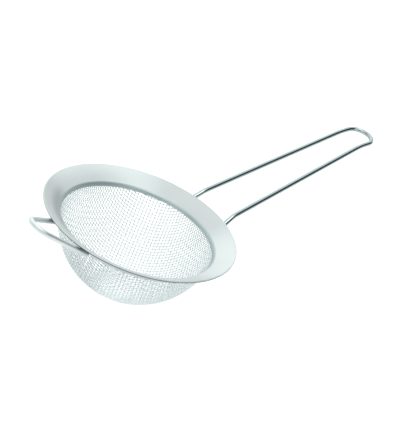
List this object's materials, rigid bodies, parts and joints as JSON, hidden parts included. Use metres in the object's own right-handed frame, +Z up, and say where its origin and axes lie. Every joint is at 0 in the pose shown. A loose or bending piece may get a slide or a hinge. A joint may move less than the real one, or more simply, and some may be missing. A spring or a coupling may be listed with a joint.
{
  "type": "tea strainer",
  "caption": "Tea strainer: a woven-wire bowl clamped under a flared steel rim, with a long wire loop handle and a short wire rest hook opposite it.",
  "frame": {"origin": "centre of the underside of the bowl's flat foot, on the bowl's axis", "axes": "+Z up the bowl's axis towards the open rim, +X from the bowl towards the handle's loop, +Y across the handle"},
  "size_m": [0.2147, 0.09, 0.0741],
  "materials": {
    "satin_sheet": "satin, spun and polished",
    "ring_steel": "satin",
    "wire_cloth": "bright plain-woven wire",
    "drawn_wire": "polished",
    "weld_metal": "dull, as welded"
  },
  "bodies": {
    "root": {"rim_flange": "satin_sheet", "mesh_clamp_ring": "ring_steel", "mesh_bowl": "wire_cloth", "handle_wire": "drawn_wire", "hook_wire": "drawn_wire", "handle_weld_left": "weld_metal", "handle_weld_right": "weld_metal", "hook_weld_left": "weld_metal", "hook_weld_right": "weld_metal"}
  },
  "joints": []
}
